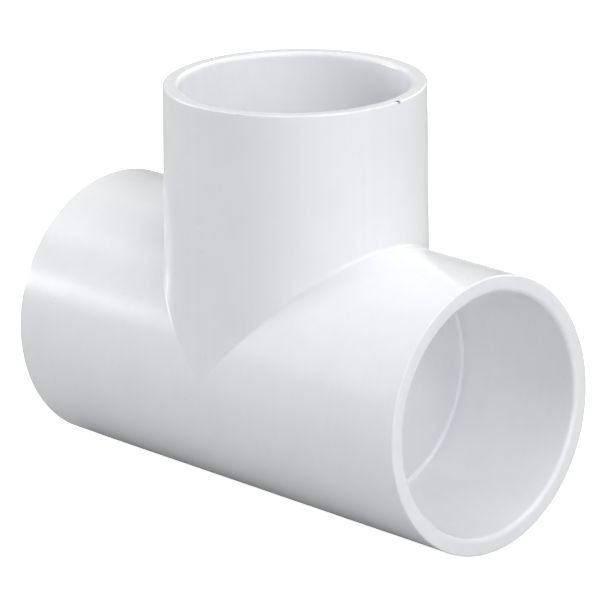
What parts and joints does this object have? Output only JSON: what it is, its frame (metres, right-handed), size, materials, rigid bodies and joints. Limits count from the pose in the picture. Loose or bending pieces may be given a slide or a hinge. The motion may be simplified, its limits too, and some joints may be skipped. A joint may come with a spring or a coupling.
{
  "type": "pipe tee fitting",
  "caption": "White moulded plastic slip tee joining pipes through equal solvent-weld sockets, each ending at an internal pipe stop.",
  "frame": {"origin": "where the centre lines of the run and the branch cross, which is the middle of the run's waterway", "axes": "+X along the run, +Z along the branch, out of its mouth"},
  "size_m": [0.142, 0.0688, 0.1054],
  "materials": {
    "white_pvc": "semi-gloss, as moulded"
  },
  "bodies": {
    "root": {"tee_body": "white_pvc"}
  },
  "joints": []
}
